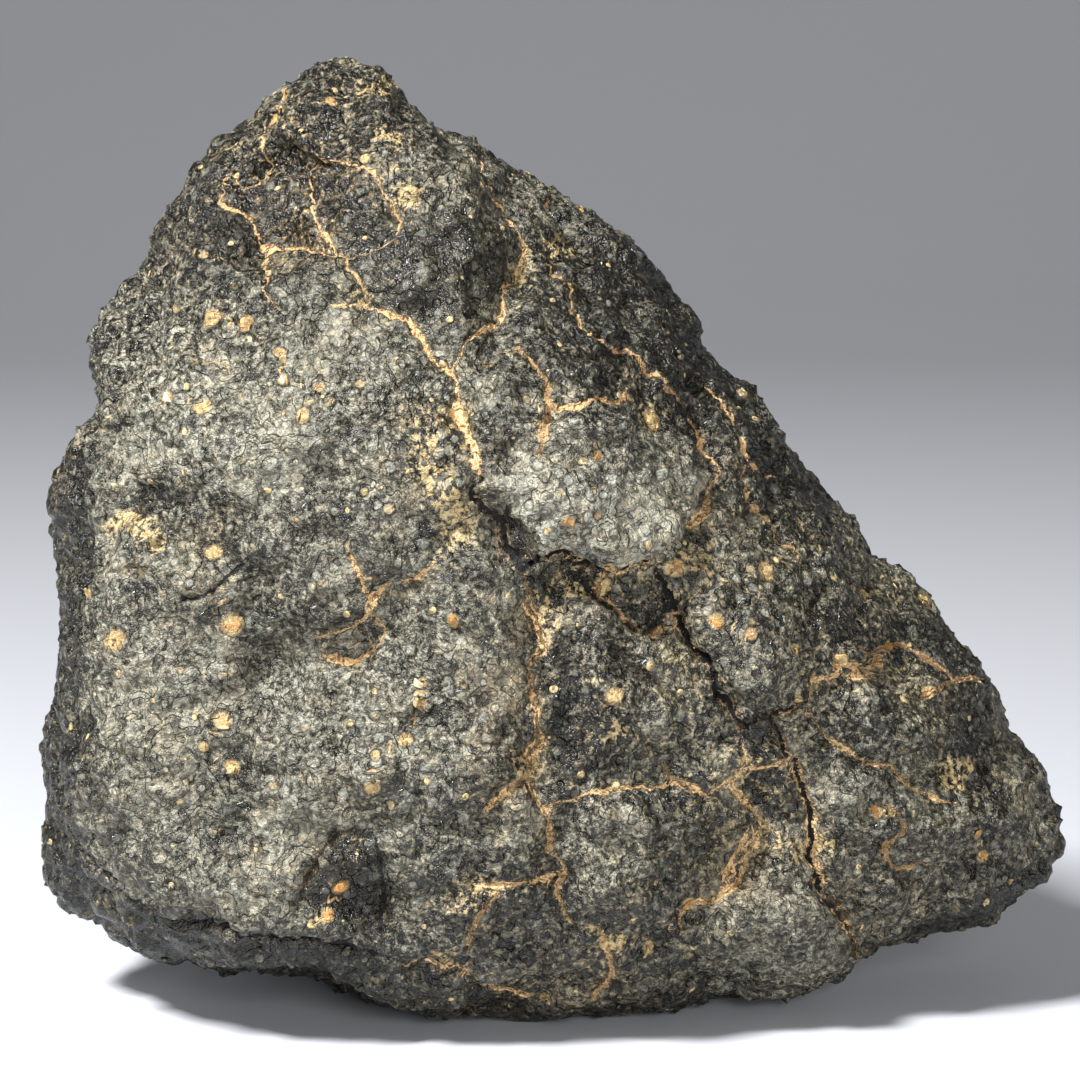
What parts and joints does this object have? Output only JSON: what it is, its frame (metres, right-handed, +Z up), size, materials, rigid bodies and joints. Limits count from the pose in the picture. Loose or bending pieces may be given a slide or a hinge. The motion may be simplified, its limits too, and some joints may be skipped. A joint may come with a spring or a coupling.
{
  "type": "chondrite meteorite",
  "caption": "Dark weathered stone meteorite with cracked plates, pits and ledges, standing upright on a small flat foot.",
  "frame": {"origin": "on the table under the middle of the stone's bounding box", "axes": "+X to the right in the picture, along the longest size; +Y away from the viewer, through the stone's thickness; +Z up"},
  "size_m": [0.1287, 0.0715, 0.1173],
  "materials": {
    "stone": "weathered, satin to semi-gloss crust"
  },
  "bodies": {
    "root": {"stone": "stone"}
  },
  "joints": []
}
